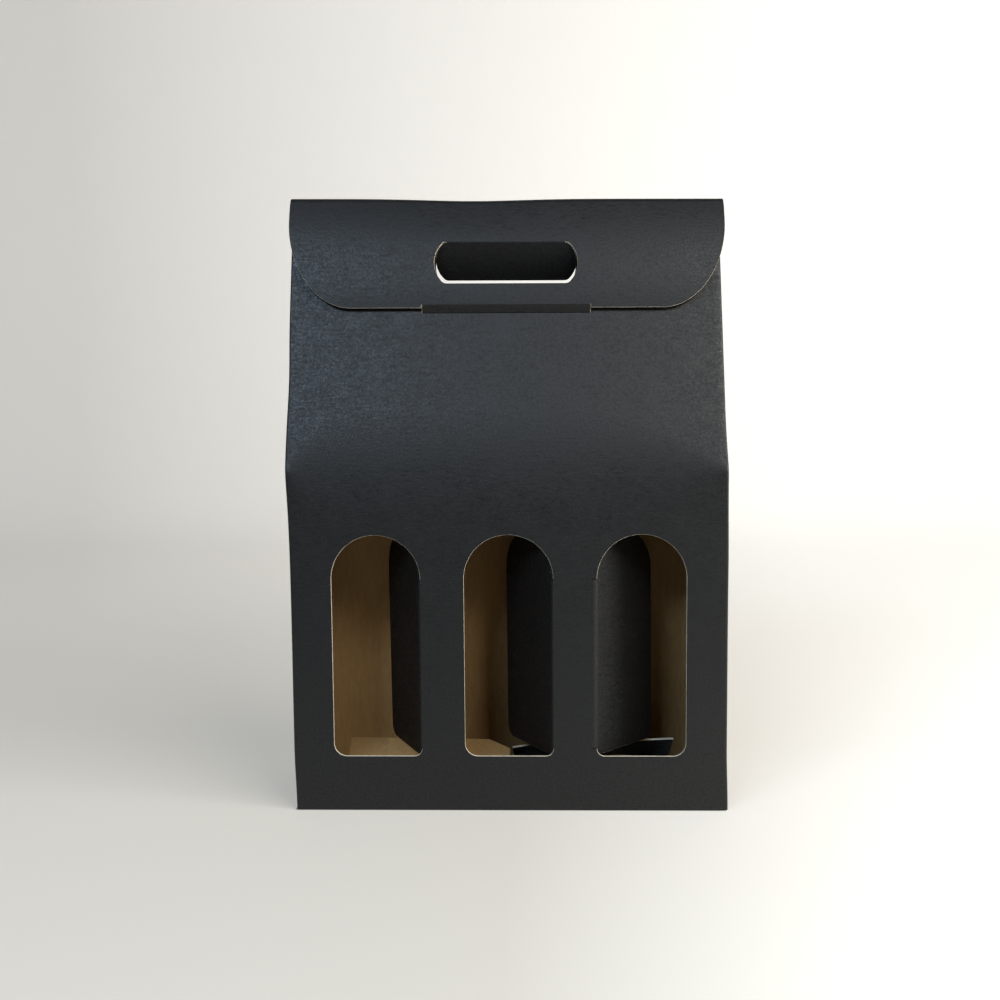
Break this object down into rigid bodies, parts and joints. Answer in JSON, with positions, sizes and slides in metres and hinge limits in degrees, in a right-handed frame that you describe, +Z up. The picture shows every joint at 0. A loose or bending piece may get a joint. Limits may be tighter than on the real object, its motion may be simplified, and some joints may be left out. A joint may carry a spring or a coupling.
{
  "type": "wine box",
  "caption": "Gable-top carton carrier for bottles, with arched windows, folded-in dividers, a tucked closure flap with a hand hole and a self-locking base.",
  "frame": {"origin": "centre of the footprint, on the surface that the box stands on", "axes": "+Z up, -Y towards the side with the windows and the closure flap, +X to the right as seen from there"},
  "size_m": [0.271, 0.09, 0.382],
  "materials": {
    "black_board": "matte black paper face",
    "kraft_board": "matte kraft"
  },
  "bodies": {
    "lower_box": {"front_lower_panel": "black_board", "back_lower_panel": "black_board", "left_side_panel": "black_board", "right_side_panel": "black_board", "glue_seam_flap": "kraft_board"},
    "front_gable": {"front_gable_panel": "black_board"},
    "back_gable": {"back_gable_panel": "black_board"},
    "ridge": {"ridge_fold": "black_board"},
    "closure": {"closure_flap": "black_board"},
    "handle_flap": {"handle_flap": "black_board"},
    "tuck_tab": {"tuck_tab": "black_board"},
    "left_gusset": {"left_gusset_centre": "black_board"},
    "right_gusset": {"right_gusset_centre": "black_board"},
    "left_gusset_front": {"left_gusset_front_half": "black_board"},
    "left_gusset_back": {"left_gusset_back_half": "black_board"},
    "right_gusset_front": {"right_gusset_front_half": "black_board"},
    "right_gusset_back": {"right_gusset_back_half": "black_board"},
    "divider_left": {"divider_left": "black_board"},
    "divider_middle": {"divider_middle": "black_board"},
    "divider_right": {"divider_right": "black_board"},
    "base_front": {"base_front_flap": "kraft_board"},
    "base_back": {"base_back_flap": "kraft_board"},
    "base_left": {"base_left_flap": "kraft_board", "base_left_glue_tab": "kraft_board"},
    "base_right": {"base_right_flap": "kraft_board", "base_right_glue_tab": "kraft_board"}
  },
  "joints": [
    {"name": "front_gable_fold", "type": "hinge", "parent": "lower_box", "child": "front_gable", "pos_m": [0, -0.0444, 0.213], "axis": [1, 0, 0], "range_deg": [0, 12.8]},
    {"name": "back_gable_fold", "type": "hinge", "parent": "lower_box", "child": "back_gable", "pos_m": [0, 0.0444, 0.213], "axis": [-1, 0, 0], "range_deg": [0, 12]},
    {"name": "ridge_fold_back", "type": "hinge", "parent": "back_gable", "child": "ridge", "pos_m": [0, 0.004, 0.3776], "axis": [-1, 0, 0], "range_deg": [0, 110]},
    {"name": "closure_fold", "type": "hinge", "parent": "ridge", "child": "closure", "pos_m": [0, -0.0052, 0.3776], "axis": [-1, 0, 0], "range_deg": [0, 110]},
    {"name": "handle_flap_fold", "type": "hinge", "parent": "closure", "child": "handle_flap", "pos_m": [0, -0.01015, 0.3548], "axis": [1, 0, 0], "range_deg": [-45, 30]},
    {"name": "tuck_tab_fold", "type": "hinge", "parent": "closure", "child": "tuck_tab", "pos_m": [0, -0.02161, 0.31263], "axis": [-1, 0, 0], "range_deg": [0, 16.5]},
    {"name": "left_gusset_fold", "type": "hinge", "parent": "lower_box", "child": "left_gusset", "pos_m": [-0.1344, 0, 0.213], "axis": [0, -1, 0], "range_deg": [0, 7]},
    {"name": "right_gusset_fold", "type": "hinge", "parent": "lower_box", "child": "right_gusset", "pos_m": [0.1344, 0, 0.213], "axis": [0, 1, 0], "range_deg": [0, 7]},
    {"name": "left_gusset_front_fold", "type": "hinge", "parent": "front_gable", "child": "left_gusset_front", "pos_m": [-0.1344, -0.04367, 0.21281], "axis": [0, 0.255, 0.967], "range_deg": [0, 56]},
    {"name": "right_gusset_front_fold", "type": "hinge", "parent": "front_gable", "child": "right_gusset_front", "pos_m": [0.1344, -0.04367, 0.21281], "axis": [0, -0.255, -0.967], "range_deg": [0, 56]},
    {"name": "left_gusset_back_fold", "type": "hinge", "parent": "back_gable", "child": "left_gusset_back", "pos_m": [-0.1344, 0.04367, 0.21282], "axis": [0, 0.2418, -0.9703], "range_deg": [0, 56]},
    {"name": "right_gusset_back_fold", "type": "hinge", "parent": "back_gable", "child": "right_gusset_back", "pos_m": [0.1344, 0.04367, 0.21282], "axis": [0, -0.2418, 0.9703], "range_deg": [0, 56]},
    {"name": "divider_left_fold", "type": "hinge", "parent": "lower_box", "child": "divider_left", "pos_m": [-0.0545, -0.0438, 0], "axis": [0, 0, -1], "range_deg": [-65, 25]},
    {"name": "divider_middle_fold", "type": "hinge", "parent": "lower_box", "child": "divider_middle", "pos_m": [0.0275, -0.0438, 0], "axis": [0, 0, -1], "range_deg": [-59, 31]},
    {"name": "divider_right_fold", "type": "hinge", "parent": "lower_box", "child": "divider_right", "pos_m": [0.0545, -0.0438, 0], "axis": [0, 0, 1], "range_deg": [-50, 40]},
    {"name": "base_front_fold", "type": "hinge", "parent": "lower_box", "child": "base_front", "pos_m": [0, -0.0444, 0.0006], "axis": [-1, 0, 0], "range_deg": [0, 30]},
    {"name": "base_back_fold", "type": "hinge", "parent": "lower_box", "child": "base_back", "pos_m": [0, 0.0444, 0.0006], "axis": [1, 0, 0], "range_deg": [0, 30]},
    {"name": "base_left_fold", "type": "hinge", "parent": "lower_box", "child": "base_left", "pos_m": [-0.1344, 0, 0.0006], "axis": [0, 1, 0], "range_deg": [0, 30]},
    {"name": "base_right_fold", "type": "hinge", "parent": "lower_box", "child": "base_right", "pos_m": [0.1344, 0, 0.0006], "axis": [0, -1, 0], "range_deg": [0, 30]}
  ],
  "couplings": [
    {"joint": "ridge_fold_back", "follows": "closure_fold", "ratio": 1},
    {"joint": "back_gable_fold", "follows": "closure_fold", "ratio": 0.109},
    {"joint": "front_gable_fold", "follows": "closure_fold", "ratio": 0.116},
    {"joint": "tuck_tab_fold", "follows": "closure_fold", "ratio": 0.15},
    {"joint": "left_gusset_fold", "follows": "closure_fold", "ratio": 0.0636},
    {"joint": "right_gusset_fold", "follows": "closure_fold", "ratio": 0.0636},
    {"joint": "left_gusset_front_fold", "follows": "closure_fold", "ratio": 0.509},
    {"joint": "right_gusset_front_fold", "follows": "closure_fold", "ratio": 0.509},
    {"joint": "left_gusset_back_fold", "follows": "closure_fold", "ratio": 0.509},
    {"joint": "right_gusset_back_fold", "follows": "closure_fold", "ratio": 0.509},
    {"joint": "base_back_fold", "follows": "base_front_fold", "ratio": 1},
    {"joint": "base_left_fold", "follows": "base_front_fold", "ratio": 1},
    {"joint": "base_right_fold", "follows": "base_front_fold", "ratio": 1}
  ]
}
